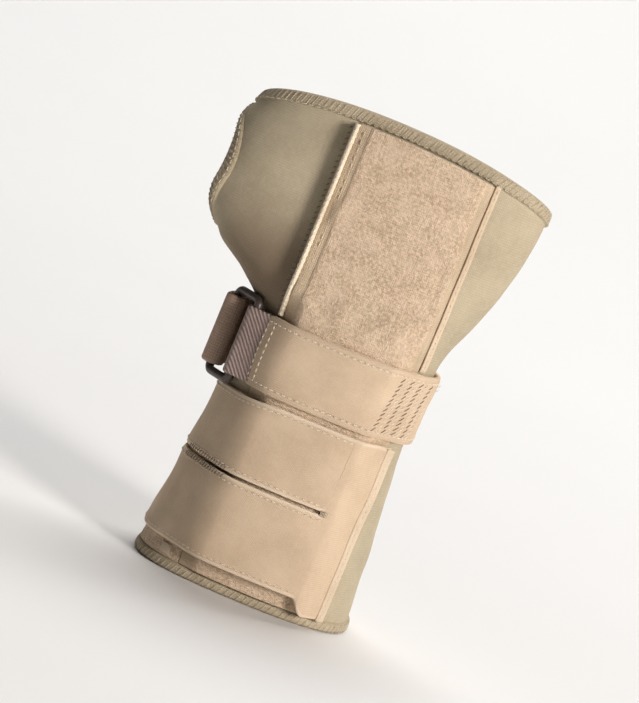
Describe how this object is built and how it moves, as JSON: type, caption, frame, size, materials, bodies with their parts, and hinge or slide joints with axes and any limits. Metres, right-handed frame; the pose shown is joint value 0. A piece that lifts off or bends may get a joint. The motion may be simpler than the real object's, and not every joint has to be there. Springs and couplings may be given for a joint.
{
  "type": "wrist splint",
  "caption": "Right-hand wrist splint: padded sleeve with thumb hole, removable back and palm stays, ring strap and a split forearm closure.",
  "frame": {"origin": "middle of the splint's outer box at the bottom of the forearm cuff, which it stands on", "axes": "+Z from the cuff towards the fingers, +Y towards the palm, +X towards the little finger; the thumb side is -X"},
  "size_m": [0.1046, 0.0738, 0.1603],
  "materials": {
    "laminate": "smooth knitted face over foam",
    "lining_knit": "brushed knit",
    "hem_knit": "ribbed knit binding with overlock stitches",
    "plush_loop": "short loop pile",
    "smooth_knit": "smooth knit laminate",
    "edge_tape": "light narrow tape",
    "thread": "zigzag stitching",
    "hook_tape": "moulded hooks",
    "webbing": "ribbed woven webbing",
    "ring_plastic": "moulded, slightly glossy",
    "stay_plastic": "flexible plastic strip",
    "stay_metal": "satin rolled strip",
    "tip_vinyl": "dipped vinyl tips"
  },
  "bodies": {
    "sleeve": {"inner_lining": "lining_knit", "back_panel": "laminate", "palm_panel": "laminate", "thumb_side_panel": "laminate", "finger_side_panel": "laminate", "cuff_hem": "hem_knit", "knuckle_hem": "hem_knit", "thumb_hem": "hem_knit", "back_pocket": "plush_loop", "palm_pocket": "plush_loop", "pocket_piping": "edge_tape", "pocket_edge_tape": "edge_tape", "forearm_loop_panel": "plush_loop", "cuff_tab": "edge_tape", "closure_panel": "smooth_knit", "closure_tape": "edge_tape", "wrist_strap": "smooth_knit", "strap_tack": "thread", "ring_webbing": "webbing"},
    "back_stay": {"back_stay": "stay_plastic"},
    "palm_stay": {"palm_stay": "stay_metal", "palm_stay_tips": "tip_vinyl"},
    "ring": {"strap_ring": "ring_plastic", "strap_fold": "smooth_knit"},
    "strap_end": {"strap_end": "smooth_knit", "strap_hook": "hook_tape"},
    "lower_tab_wrap": {"lower_tab_wrap": "smooth_knit"},
    "lower_tab_end": {"lower_tab_end": "smooth_knit", "lower_tab_hook": "hook_tape"},
    "upper_tab_wrap": {"upper_tab_wrap": "smooth_knit"},
    "upper_tab_end": {"upper_tab_end": "smooth_knit", "upper_tab_hook": "hook_tape"}
  },
  "joints": [
    {"name": "back_stay_slide", "type": "slide", "parent": "sleeve", "child": "back_stay", "axis": [0, 0, 1], "range_m": [0, 0.125]},
    {"name": "palm_stay_slide", "type": "slide", "parent": "sleeve", "child": "palm_stay", "axis": [0, -0.1118, 0.9937], "range_m": [0, 0.115]},
    {"name": "ring_swing", "type": "hinge", "parent": "sleeve", "child": "ring", "pos_m": [-0.02265, -0.02208, 0.0772], "axis": [0, 0, 1], "range_deg": [0, 30]},
    {"name": "strap_end_peel", "type": "hinge", "parent": "ring", "child": "strap_end", "pos_m": [-0.03435, -0.00933, 0.0772], "axis": [0, 0, 1], "range_deg": [0, 135]},
    {"name": "lower_tab_swing", "type": "hinge", "parent": "sleeve", "child": "lower_tab_wrap", "pos_m": [-0.0152, -0.03195, 0.02305], "axis": [0, 0, 1], "range_deg": [0, 110]},
    {"name": "lower_tab_peel", "type": "hinge", "parent": "lower_tab_wrap", "child": "lower_tab_end", "pos_m": [-0.0152, 0.03119, 0.02305], "axis": [0, -0.1405, 0.9901], "range_deg": [0, 150]},
    {"name": "upper_tab_swing", "type": "hinge", "parent": "sleeve", "child": "upper_tab_wrap", "pos_m": [-0.0152, -0.0311, 0.05025], "axis": [0, 0, 1], "range_deg": [0, 110]},
    {"name": "upper_tab_peel", "type": "hinge", "parent": "upper_tab_wrap", "child": "upper_tab_end", "pos_m": [-0.0152, 0.02746, 0.05025], "axis": [0, -0.1304, 0.9915], "range_deg": [0, 150]}
  ]
}
